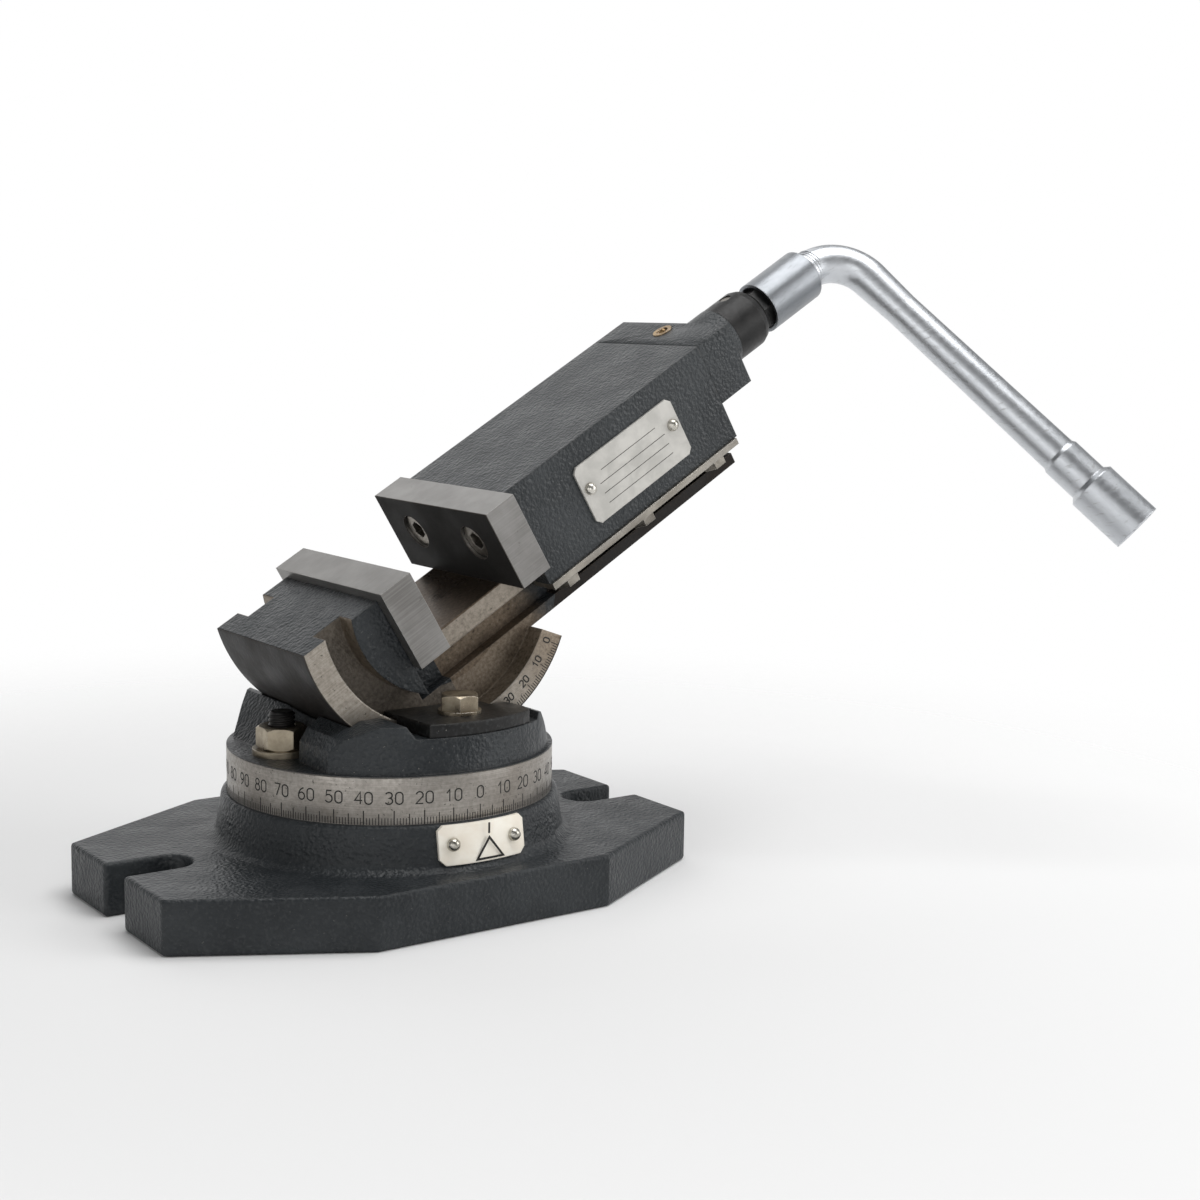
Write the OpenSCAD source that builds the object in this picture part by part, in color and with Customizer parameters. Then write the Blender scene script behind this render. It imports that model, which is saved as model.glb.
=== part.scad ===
// Two-axis precision machine vise: swivel base, tilting sector bed, sliding jaw, socket wrench.
// Frame: origin on the swivel axis at the underside of the base, +Z up, +X along the base slots.
// The vise modules are drawn in the vise frame: origin on the top edge of the fixed jaw's
// gripping face, x along the spindle, z square to the bed.

/* [Base] */
// Length of the base plate
base_length = 135; // [110:1:160]
// Width of the base plate
base_width = 93.8; // [80:0.2:110]
// Thickness of the base plate
base_thickness = 12; // [8:0.5:16]
// Length of the straight edge at each end
base_end_edge = 51.6; // [40:0.2:60]
// Length of the straight edge on each side
base_side_edge = 58.4; // [45:0.2:70]
// Width of the open clamping slots
slot_width = 10.4; // [8:0.1:12]
// Distance from the swivel axis to the inner end of each slot
slot_inner_end = 50; // [46:0.5:56]
// Radius of the boss at its foot
boss_foot_radius = 40.3; // [39:0.1:42]
// Radius of the boss at its top
boss_top_radius = 38.7; // [38:0.1:40]
// Height of the top of the boss
boss_top = 22.2; // [20:0.1:24]

/* [Turntable] */
// Radius of the graduated ring
ring_radius = 37.5; // [36:0.1:38.5]
// Height of the top of the graduated ring
ring_top = 32.8; // [30:0.1:34]
// Distance from the swivel axis to each swivel stud
stud_offset = 27.8; // [26:0.1:29]
// Radius of the swivel studs
stud_radius = 3; // [2.5:0.1:3.5]
// Height of the seats under the clamp plates
clamp_seat = 40.6; // [40:0.1:42]
// Thickness of the clamp plates
clamp_thickness = 3; // [2:0.1:4]

/* [Tilt] */
// Tilt of the vise above horizontal
tilt_angle = 31.2; // [0:0.1:90]
// Height of the tilt axis
tilt_axis_height = 69.4; // [68:0.1:71]
// Tilt axis along the vise, from the fixed jaw face
tilt_axis_along = 5.1; // [4:0.1:6]
// Tilt axis below the jaw tops
tilt_axis_below = 10; // [9:0.1:11]
// Outer radius of the sector
sector_radius = 35.1; // [34:0.1:36]
// Inner radius of the sector's rims
rim_inner_radius = 29.2; // [28:0.1:30]
// Half width over the sector's rims
rim_half_width = 21.5; // [20:0.1:23]

/* [Jaws] */
// Width of the jaw plates
jaw_width = 50; // [46:0.5:54]
// Height of the jaw plates
jaw_height = 20; // [18:0.1:20]
// Thickness of the jaw plates
jaw_thickness = 8.4; // [7:0.1:10]
// Opening between the jaws
jaw_opening = 22.4; // [1:0.1:34]
// Half width of the sliding block
block_half_width = 20.9; // [19:0.1:22]
// Distance of the spindle axis below the jaw tops
screw_below = 11; // [10.8:0.1:11.4]

/* [Wrench] */
// Angle of the wrench arm about the spindle
wrench_angle = 40.6; // [-180:0.1:180]
// Distance from the spindle axis to the end of the wrench
wrench_reach = 106.8; // [90:0.1:130]

/* [Hidden] */
$fn = 96;
gap = 0.3;
block_start = jaw_opening + jaw_thickness;
block_end = block_start + 63.7;
bracket_end = block_end + 10.4;
boss_end = bracket_end + 11.1;
collar_end = boss_end + 11.7;
socket_start = collar_end + 2.9;
bend_start = socket_start + 19;
bend_radius = 12;
keeper_screw_places = [6.1, 31.5, 56.2];
nut_screw_places = [56, 63];
paint = [0.17, 0.20, 0.23];
bare_steel = [0.55, 0.53, 0.50];
ground_steel = [0.62, 0.62, 0.63];
black_steel = [0.10, 0.10, 0.11];
zinc = [0.66, 0.62, 0.53];

// Places the vise frame on the tilted bed.
module in_vise() {
  translate([0, 0, tilt_axis_height])
    rotate([0, -tilt_angle, 0])
      translate([-tilt_axis_along, 0, tilt_axis_below])
        children();
}

// Cylinder across the vise, on the tilt axis, drawn in the vise frame.
module tilt_cylinder(radius, width) {
  translate([tilt_axis_along, 0, -tilt_axis_below])
    rotate([90, 0, 0])
      cylinder(h = width, r = radius, center = true);
}

// Cylinder along the spindle, drawn in the vise frame.
module along(from, to, radius) {
  translate([from, 0, -screw_below])
    rotate([0, 90, 0])
      cylinder(h = to - from, r = radius);
}

// Box from one corner to the other.
module span(low, high) {
  translate(low)
    cube([high[0] - low[0], high[1] - low[1], high[2] - low[2]]);
}

// Cylinder along x, from a start point.
module rod_x(x, y, z, length, radius) {
  translate([x, y, z])
    rotate([0, 90, 0])
      cylinder(h = length, r = radius);
}

// Upright cylinder, from a start point.
module rod_z(x, y, z, length, radius) {
  translate([x, y, z])
    cylinder(h = length, r = radius);
}

module base_outline() {
  long = base_length / 2;
  wide = base_width / 2;
  side = base_side_edge / 2;
  end = base_end_edge / 2;
  polygon([[-long, -end], [-side, -wide], [side, -wide], [long, -end],
    [long, end], [side, wide], [-side, wide], [-long, end]]);
}

module base_plate() {
  color(paint)
    difference() {
      union() {
        linear_extrude(base_thickness)
          base_outline();
        translate([0, 0, base_thickness])
          cylinder(h = boss_top - base_thickness, r1 = boss_foot_radius, r2 = boss_top_radius);
        // cast fillet at the foot of the boss
        translate([0, 0, base_thickness - 0.1])
          cylinder(h = 1.5, r1 = 42.1, r2 = boss_foot_radius - 0.25);
      }
      for (turn = [0, 180])
        rotate([0, 0, turn]) {
          rod_z(slot_inner_end + slot_width / 2, 0, -1, base_thickness + 2, slot_width / 2);
          span([slot_inner_end + slot_width / 2, -slot_width / 2, -1],
            [base_length, slot_width / 2, base_thickness + 1]);
        }
      // annular T slot for the swivel studs
      difference() {
        rod_z(0, 0, 11.5, 5.5, stud_offset + 6.3);
        rod_z(0, 0, 11, 6.5, stud_offset - 6.3);
      }
      difference() {
        rod_z(0, 0, 16.5, 10, stud_offset + stud_radius + 0.4);
        rod_z(0, 0, 16, 11, stud_offset - stud_radius - 0.4);
      }
      rod_z(0, 0, 7, 20, 10.05);
    }
}

module index_plate() {
  color([0.80, 0.80, 0.78])
    intersection() {
      difference() {
        translate([0, 0, base_thickness])
          cylinder(h = boss_top - base_thickness, r1 = boss_foot_radius + 0.7, r2 = boss_top_radius + 0.7);
        translate([0, 0, base_thickness])
          cylinder(h = boss_top - base_thickness, r1 = boss_foot_radius + 0.02, r2 = boss_top_radius + 0.02);
        translate([-7, 0, 18])
          rotate([90, 0, 0])
            cylinder(h = 60, r = 0.85);
        translate([8.6, 0, 18])
          rotate([90, 0, 0])
            cylinder(h = 60, r = 0.85);
      }
      translate([0.8, 0, 0])
        rotate([90, 0, 0])
          linear_extrude(60)
            polygon([[-11, 14.8], [-9.6, 13.5], [9.6, 13.5], [11, 14.8],
              [11, 21], [9.8, 22.1], [-9.8, 22.1], [-11, 21]]);
    }
}

module index_rivet(x) {
  face = sqrt(1600 - x * x);
  translate([x, -face, 18])
    rotate([90, 0, 0])
      union() {
        cylinder(h = 0.3, r = 1.5);
        translate([0, 0, 0.3])
          scale(0.75)
            intersection() {
              sphere(r = 2);
              cylinder(h = 3, r = 3);
            }
        translate([0, 0, -1.4])
          cylinder(h = 1.6, r = 0.8);
      }
}

module index_rivets() {
  color([0.75, 0.75, 0.74])
    union() {
      index_rivet(-7);
      index_rivet(8.6);
    }
}

module swivel_pivot() {
  color(bare_steel)
    rod_z(0, 0, 8, 20, 10);
}

// Outline of one half of the cradle, seen from the front.
module cradle_profile() {
  polygon([[-28.4, ring_top - 0.5], [-28.2, 37.4], [-26.3, 40.2], [-20, 43.2],
    [-15, 43.4], [-13, clamp_seat], [20.7, clamp_seat], [21.5, 42.2], [22.7, 42],
    [25.2, 38.8], [27.2, 35.8], [30.4, ring_top - 0.5]]);
}

module turntable() {
  color(paint)
    difference() {
      union() {
        rod_z(0, 0, boss_top + 0.05, ring_top - boss_top - 0.05, ring_radius);
        intersection() {
          rod_z(0, 0, ring_top - 0.5, 20, ring_radius - 1.1);
          union() {
            rotate([90, 0, 0])
              linear_extrude(50)
                cradle_profile();
            rotate([0, 0, 180])
              rotate([90, 0, 0])
                linear_extrude(50)
                  cradle_profile();
          }
        }
      }
      translate([0, 0, tilt_axis_height])
        rotate([90, 0, 0])
          cylinder(h = 2 * rim_half_width + 2 * gap, r = sector_radius + gap, center = true);
      for (side = [-1, 1]) {
        rod_z(side * stud_offset, 0, ring_top, 20, 9.4);
        rod_z(side * stud_offset, 0, boss_top - 1, 20, stud_radius + 0.2);
        translate([side * 34, 0, 0])
          span([-6, -9.4, ring_top], [6, 9.4, 60]);
      }
      for (turn = [0, 180])
        rotate([0, 0, turn])
          rod_z(2.4, -26.4, 30, 20, 2.55);
      rod_z(0, 0, boss_top - 1, 6.85, 10.02);
    }
}

module swivel_stud(side) {
  translate([side * stud_offset, 0, 0])
    union() {
      span([-5.4, -5.4, 12.2], [5.4, 5.4, 16.2]);
      rod_z(0, 0, 16.2, 25.7, stud_radius);
      translate([0, 0, 41.9])
        cylinder(h = 0.6, r1 = stud_radius, r2 = stud_radius - 0.6);
    }
}

module swivel_studs() {
  color(black_steel)
    union() {
      swivel_stud(-1);
      swivel_stud(1);
    }
}

module swivel_washers() {
  color(zinc)
    for (side = [-1, 1])
      translate([side * stud_offset, 0, ring_top])
        difference() {
          cylinder(h = 1.4, r = 6.6);
          translate([0, 0, -1])
            cylinder(h = 4, r = stud_radius + 0.2);
        }
}

// Hexagon nut with chamfered corners, on its own axis.
module hex_nut(across, height, bore) {
  difference() {
    intersection() {
      cylinder(h = height, r = across / sqrt(3), $fn = 6);
      union() {
        cylinder(h = 0.6, r1 = across / sqrt(3) - 0.7, r2 = across / sqrt(3) + 0.05);
        translate([0, 0, 0.6])
          cylinder(h = height - 1.2, r = across / sqrt(3) + 0.05);
        translate([0, 0, height - 0.6])
          cylinder(h = 0.6, r1 = across / sqrt(3) + 0.05, r2 = across / sqrt(3) - 0.7);
      }
    }
    translate([0, 0, -1])
      cylinder(h = height + 2, r = bore);
  }
}

module swivel_nut_left() {
  color(zinc)
    translate([-stud_offset, 0, ring_top + 1.4])
      rotate([0, 0, 30])
        hex_nut(10, 5, stud_radius + 0.05);
}

module swivel_nut_right() {
  color(zinc)
    translate([stud_offset, 0, ring_top + 1.4])
      rotate([0, 0, 30])
        hex_nut(10, 5, stud_radius + 0.05);
}

// Clamp plate whose inner lip holds the sector's rim down in the cradle.
module clamp_plate() {
  lip_radius = rim_inner_radius - gap;
  difference() {
    union() {
      intersection() {
        translate([0, 0, clamp_seat])
          linear_extrude(clamp_thickness)
            polygon([[-11.2, -16.6], [-9.7, -40], [15.6, -40], [18.4, -27.5], [17.4, -21], [14, -16.6]]);
        rod_z(0, 0, clamp_seat - 1, 6, ring_radius - 1.3);
      }
      span([-7, -21.3, 40.2], [7, -16.6, clamp_seat]);
    }
    difference() {
      span([-40, -21.8, 20], [40, 0, 60]);
      translate([0, 0, tilt_axis_height])
        rotate([90, 0, 0])
          cylinder(h = 50, r = lip_radius);
    }
    rod_z(2.4, -26.4, 30, 30, 2.75);
  }
}

module clamp_front() {
  color(paint)
    clamp_plate();
}

module clamp_back() {
  color(paint)
    rotate([0, 0, 180])
      clamp_plate();
}

module clamp_washer() {
  translate([2.4, -26.4, clamp_seat + clamp_thickness])
    difference() {
      cylinder(h = 0.8, r = 4.8);
      translate([0, 0, -1])
        cylinder(h = 3, r = 2.7);
    }
}

module clamp_washer_front() {
  color(zinc)
    clamp_washer();
}

module clamp_washer_back() {
  color(zinc)
    rotate([0, 0, 180])
      clamp_washer();
}

module clamp_bolt() {
  translate([2.4, -26.4, clamp_seat + clamp_thickness + 0.8])
    union() {
      intersection() {
        cylinder(h = 3.5, r = 8 / sqrt(3), $fn = 6);
        union() {
          cylinder(h = 2.9, r = 4.7);
          translate([0, 0, 2.9])
            cylinder(h = 0.6, r1 = 4.7, r2 = 3.9);
        }
      }
      translate([0, 0, -12])
        cylinder(h = 12.1, r = 2.5);
    }
}

module clamp_bolt_front() {
  color(zinc)
    clamp_bolt();
}

module clamp_bolt_back() {
  color(zinc)
    rotate([0, 0, 180])
      clamp_bolt();
}

// Bed casting: sector with rims, fixed jaw block and the guide beam.
module vise_bed() {
  color(paint)
    in_vise()
      difference() {
        union() {
          intersection() {
            tilt_cylinder(sector_radius, 2 * rim_half_width);
            rotate([90, 0, 0])
              linear_extrude(80, center = true)
                polygon([[-60, -2.1], [-jaw_thickness, -2.1], [-jaw_thickness, -30.5],
                  [21.7, -30.5], [37.5, -50], [37.5, -70], [-60, -70]]);
          }
          span([-jaw_thickness - 1, -14.8, -25], [94.2, 14.8, -jaw_height]);
          span([-jaw_thickness - 1, -12.5, -31], [94.2, 12.5, -24.5]);
          span([-jaw_thickness + 2, -16, -33.2], [94.2, 16, -30.5]);
        }
        // turned grooves between the rims and the jaw block
        for (side = [-1, 1])
          translate([0, side * (16 + 20), 0]) {
            difference() {
              tilt_cylinder(rim_inner_radius, 40);
              tilt_cylinder(22.2, 50);
            }
            intersection() {
              tilt_cylinder(rim_inner_radius, 40);
              span([-jaw_thickness, -60, -60], [60, 60, 20]);
            }
          }
        // tapped holes for the fixed jaw screws
        for (side = [-1, 1])
          rod_x(-14.9, side * 13, -9, 10, 2.55);
        // holes for the feed nut screws
        for (x = nut_screw_places) {
          rod_z(x, 0, -40, 25, 2.3);
          rod_z(x, 0, -40, 11.2, 3.9);
        }
      }
}

// Jaw plate with counterbored screw holes, gripping face at x = 0 facing +x.
module jaw_plate() {
  difference() {
    span([-jaw_thickness, -jaw_width / 2, -jaw_height], [0, jaw_width / 2, 0]);
    for (side = [-1, 1]) {
      rod_x(-20, side * 13, -9, 30, 2.7);
      rod_x(-5, side * 13, -9, 10, 4.4);
    }
  }
}

// Socket cap screw, head end towards +x, underside of the head at x = 0.
module jaw_screw() {
  difference() {
    union() {
      rotate([0, 90, 0])
        cylinder(h = 4.2, r = 4.2);
      translate([-9.5, 0, 0])
        rotate([0, 90, 0])
          cylinder(h = 9.6, r = 2.5);
    }
    translate([1.8, 0, 0])
      rotate([0, 90, 0])
        cylinder(h = 5, r = 2.31, $fn = 6);
  }
}

module fixed_jaw_plate() {
  color(ground_steel)
    in_vise()
      jaw_plate();
}

module fixed_jaw_screws() {
  color(black_steel)
    in_vise()
      for (side = [-1, 1])
        translate([-5, side * 13, -9])
          jaw_screw();
}

module moving_jaw_plate() {
  color(ground_steel)
    in_vise()
      translate([jaw_opening, 0, 0])
        mirror([1, 0, 0])
          jaw_plate();
}

module moving_jaw_screws() {
  color(black_steel)
    in_vise()
      for (side = [-1, 1])
        translate([jaw_opening + 5, side * 13, -9])
          mirror([1, 0, 0])
            jaw_screw();
}

module feed_nut() {
  color([0.62, 0.46, 0.24])
    in_vise()
      difference() {
        span([52, -8, -jaw_height], [67, 8, -4.5]);
        along(50, 80, 5.06);
        for (x = nut_screw_places)
          rod_z(x, 0, -25, 8.2, 2.05);
      }
}

module feed_nut_screws() {
  color(black_steel)
    in_vise()
      for (x = nut_screw_places)
        union() {
          rod_z(x, 0, -32.8, 4, 3.5);
          rod_z(x, 0, -28.8, 11.8, 2);
        }
}

// Hollow block that straddles the guide beam and carries the moving jaw.
module sliding_block() {
  color(paint)
    in_vise()
      difference() {
        span([block_start, -block_half_width, -25.4], [block_end, block_half_width, -0.2]);
        span([block_start - 1, -15, -30], [block_end + 1, 15, -19.8]);
        span([block_start + 8.2, -13.4, -26], [block_end + 1, 13.4, -3.4]);
        for (side = [-1, 1]) {
          rod_x(block_start - 1, side * 13, -9, 8, 2.55);
          for (x = keeper_screw_places)
            rod_z(block_start + x, side * 18, -26, 6.6, 1.55);
          rod_x(block_end - 9, side * 17, -8, 10, 2.05);
        }
      }
}

module keeper(side) {
  difference() {
    span([block_start + 0.3, min(side * 12.8, side * 21.6), -27],
      [block_end - 0.8, max(side * 12.8, side * 21.6), -25.4]);
    for (x = keeper_screw_places)
      rod_z(block_start + x, side * 18, -30, 10, 1.6);
  }
}

module keeper_front() {
  color(bare_steel)
    in_vise()
      keeper(-1);
}

module keeper_back() {
  color(bare_steel)
    in_vise()
      keeper(1);
}

module keeper_screws() {
  color(zinc)
    in_vise()
      for (side = [-1, 1])
        for (x = keeper_screw_places)
          translate([block_start + x, side * 18, -29.2])
            union() {
              cylinder(h = 2.2, r = 5.5 / sqrt(3), $fn = 6);
              cylinder(h = 8.6, r = 1.5);
            }
}

// Bearing bracket screwed to the end of the sliding block.
module end_bracket() {
  color(paint)
    in_vise()
      difference() {
        union() {
          span([block_end, -block_half_width, -16.1], [bracket_end, block_half_width, -0.2]);
          along(bracket_end - 0.5, boss_end, 7.9);
          along(block_end, bracket_end, 8);
        }
        along(block_end - 1, boss_end + 1, 5.05);
        rod_z(block_end + 6.5, 0, -6.5, 10, 1.3);
        rod_z(block_end + 6.5, 0, -2.2, 10, 2.55);
        for (side = [-1, 1]) {
          rod_x(block_end - 1, side * 17, -8, 20, 2.2);
          rod_x(bracket_end - 4, side * 17, -8, 10, 3.6);
        }
      }
}

module bracket_screws() {
  color(black_steel)
    in_vise()
      for (side = [-1, 1])
        translate([bracket_end - 4, side * 17, -8])
          difference() {
            union() {
              rod_x(0, 0, 0, 3.8, 3.5);
              rod_x(-14, 0, 0, 14.1, 2);
            }
            translate([1.6, 0, 0])
              rotate([0, 90, 0])
                cylinder(h = 5, r = 3 / sqrt(3), $fn = 6);
          }
}

module oiler() {
  color([0.72, 0.53, 0.27])
    in_vise()
      translate([block_end + 6.5, 0, -2.2])
        difference() {
          union() {
            cylinder(h = 2.2, r = 2.5);
            translate([0, 0, 1.7])
              sphere(r = 1);
          }
          difference() {
            translate([0, 0, 1.7])
              cylinder(h = 5, r = 1.5);
            translate([0, 0, 1.7])
              sphere(r = 1);
          }
        }
}

module nameplate() {
  color([0.80, 0.79, 0.77])
    in_vise()
      translate([block_start + 34, -block_half_width - 0.6, -13.4])
        rotate([-90, 0, 0])
          difference() {
            linear_extrude(0.6)
              polygon([[-16, -6.4], [-14.8, -7.6], [14.8, -7.6], [16, -6.4],
                [16, 6.4], [14.8, 7.6], [-14.8, 7.6], [-16, 6.4]]);
            for (side = [-1, 1])
              translate([side * 13.8, -1.2, -1])
                cylinder(h = 3, r = 0.85);
          }
}

module nameplate_rivets() {
  color([0.75, 0.75, 0.74])
    in_vise()
      for (side = [-1, 1])
        translate([block_start + 34 + side * 13.8, -block_half_width - 0.6, -12.2])
          rotate([90, 0, 0])
            union() {
              scale(0.75)
                intersection() {
                  sphere(r = 2);
                  cylinder(h = 3, r = 3);
                }
              translate([0, 0, -0.6])
                cylinder(h = 0.7, r = 0.8);
            }
}

// Spindle: threaded part, journal and hexagon end for the wrench.
module spindle() {
  color(bare_steel)
    in_vise()
      difference() {
        union() {
          along(block_start + 9.7, collar_end, 5);
          translate([collar_end - 0.5, 0, -screw_below])
            rotate([0, 90, 0])
              rotate([0, 0, -wrench_angle])
                cylinder(h = 15.8, r = 10 / sqrt(3), $fn = 6);
        }
        translate([collar_end - 5.5, 0, -screw_below])
          cylinder(h = 20, r = 1.52, center = true);
        translate([block_end - 3.4, 0, -screw_below])
          cylinder(h = 20, r = 1.02, center = true);
      }
}

module thrust_washer() {
  color([0.62, 0.46, 0.24])
    in_vise()
      difference() {
        along(block_end - 1.5, block_end - 0.3, 7.2);
        along(block_end - 3, block_end + 1, 5.1);
      }
}

module inner_collar() {
  color(black_steel)
    in_vise()
      union() {
        difference() {
          along(block_end - 5.2, block_end - 1.6, 7.2);
          along(block_end - 9, block_end, 5.02);
        }
        translate([block_end - 3.4, 0, -screw_below])
          cylinder(h = 13.6, r = 1, center = true);
      }
}

module outer_collar() {
  color(black_steel)
    in_vise()
      difference() {
        union() {
          along(boss_end + 0.1, collar_end - 2.6, 7.8);
          translate([collar_end - 2.6, 0, -screw_below])
            rotate([0, 90, 0])
              cylinder(h = 1.6, r1 = 7.8, r2 = 7.2);
          translate([collar_end - 1, 0, -screw_below])
            rotate([0, 90, 0])
              cylinder(h = 1, r1 = 7.2, r2 = 6.3);
        }
        along(boss_end - 1, collar_end - 0.6, 5.02);
        translate([collar_end - 0.6, 0, -screw_below])
          rotate([0, 90, 0])
            rotate([0, 0, -wrench_angle])
              cylinder(h = 2, r = 5.82, $fn = 6);
        translate([collar_end - 5.5, 0, -screw_below])
          cylinder(h = 20, r = 1.52, center = true);
      }
}

module collar_pin() {
  color(bare_steel)
    in_vise()
      translate([collar_end - 5.5, 0, -screw_below])
        cylinder(h = 15, r = 1.5, center = true);
}

// Angled socket wrench: one socket on the spindle, a bend and a long arm with a second socket.
module wrench() {
  color([0.72, 0.72, 0.73])
    in_vise()
      translate([0, 0, -screw_below])
        rotate([-wrench_angle, 0, 0])
          difference() {
            union() {
              rod_x(socket_start, 0, 0, 16.9, 6.9);
              translate([socket_start + 16.9, 0, 0])
                rotate([0, 90, 0])
                  cylinder(h = 1.3, r1 = 6.9, r2 = 5.3);
              rod_x(socket_start + 18.1, 0, 0, bend_start - socket_start - 18.1, 5);
              translate([bend_start, 0, -bend_radius])
                rotate([90, 0, 0])
                  rotate_extrude(angle = 90)
                    translate([bend_radius, 0])
                      circle(r = 5);
              translate([bend_start + bend_radius, 0, -bend_radius])
                mirror([0, 0, 1]) {
                  cylinder(h = 12, r1 = 5, r2 = 4.5);
                  translate([0, 0, 12])
                    cylinder(h = 79.6 - bend_radius - 12, r1 = 4.5, r2 = 4.9);
                }
              translate([bend_start + bend_radius, 0, -79.6])
                mirror([0, 0, 1]) {
                  cylinder(h = 1, r1 = 4.9, r2 = 5.4);
                  translate([0, 0, 1])
                    cylinder(h = 9.4, r = 5.4);
                  translate([0, 0, 10.4])
                    cylinder(h = 1.2, r1 = 5.4, r2 = 6.7);
                  translate([0, 0, 11.6])
                    cylinder(h = wrench_reach - 79.6 - 11.6, r = 6.7);
                }
            }
            translate([socket_start - 1, 0, 0])
              rotate([0, 90, 0])
                cylinder(h = 16, r = 10.2 / sqrt(3), $fn = 6);
            translate([socket_start - 0.5, 0, 0])
              rotate([0, 90, 0])
                cylinder(h = 1.5, r1 = 6.6, r2 = 5.1);
            translate([bend_start + bend_radius, 0, -wrench_reach - 1])
              cylinder(h = 14, r = 10.2 / sqrt(3), $fn = 6);
            translate([bend_start + bend_radius, 0, -wrench_reach - 0.5])
              cylinder(h = 1.5, r1 = 6.4, r2 = 4.9);
          }
}

base_plate();
index_plate();
index_rivets();
swivel_pivot();
turntable();
swivel_studs();
swivel_washers();
swivel_nut_left();
swivel_nut_right();
clamp_front();
clamp_back();
clamp_washer_front();
clamp_washer_back();
clamp_bolt_front();
clamp_bolt_back();
vise_bed();
fixed_jaw_plate();
fixed_jaw_screws();
feed_nut();
feed_nut_screws();
sliding_block();
moving_jaw_plate();
moving_jaw_screws();
keeper_front();
keeper_back();
keeper_screws();
end_bracket();
bracket_screws();
oiler();
nameplate();
nameplate_rivets();
spindle();
thrust_washer();
inner_collar();
outer_collar();
collar_pin();
wrench();
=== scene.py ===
import math

import bmesh
import bpy
from mathutils import Matrix, Vector


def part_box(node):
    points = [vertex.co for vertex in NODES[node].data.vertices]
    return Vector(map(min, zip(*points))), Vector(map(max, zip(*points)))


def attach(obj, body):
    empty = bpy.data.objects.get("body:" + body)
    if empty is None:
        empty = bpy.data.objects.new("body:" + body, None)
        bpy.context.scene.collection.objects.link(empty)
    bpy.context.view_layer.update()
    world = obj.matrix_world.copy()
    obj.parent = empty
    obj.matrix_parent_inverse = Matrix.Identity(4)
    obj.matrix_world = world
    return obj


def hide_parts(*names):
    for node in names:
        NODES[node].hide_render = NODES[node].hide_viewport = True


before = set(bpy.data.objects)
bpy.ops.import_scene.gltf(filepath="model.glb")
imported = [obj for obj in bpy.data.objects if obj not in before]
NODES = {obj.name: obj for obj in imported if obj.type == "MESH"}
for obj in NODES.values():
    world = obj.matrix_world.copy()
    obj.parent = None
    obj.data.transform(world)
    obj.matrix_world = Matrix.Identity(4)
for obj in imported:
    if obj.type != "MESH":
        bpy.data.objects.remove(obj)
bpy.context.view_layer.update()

MM = 0.001

# The vise frame: x along the jaws' travel, z square to the bed, tipped up by the tilt angle.
TILT = math.radians(31.2)
VISE_ORIGIN = Vector((-9.54261, 0.0, 75.31165))
EX = Vector((math.cos(TILT), 0.0, math.sin(TILT)))
EZ = Vector((-math.sin(TILT), 0.0, math.cos(TILT)))
AXIS_X, AXIS_Z = 5.1, -10.0  # the tilt axis in the vise frame
SCREW_Z = -11.0  # the spindle axis
JAW_OPENING = 22.4
BEAM_TOP = -20.0  # top of the bed's rail
RIM_HALF_WIDTH = 21.5
NAMEPLATE_FACE = 21.5
NAMEPLATE_MID = (64.8, -13.4)
SECTOR_R = 35.1
RIM_R = 29.2  # inside of the sector's rims
RING_R = 37.5  # the graduated ring
STUD_PLACE = 27.8  # x of the two swivel studs, both ways


def vise(x, y, z):
    """A point of the vise frame in mm, as a point of the row frame in metres."""
    return (VISE_ORIGIN + EX * x + Vector((0, y, 0)) + EZ * z) * MM


# ---------------------------------------------------------------- materials

CASTING_IOR = 1.36  # a low value keeps the paint's sheen down


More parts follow.
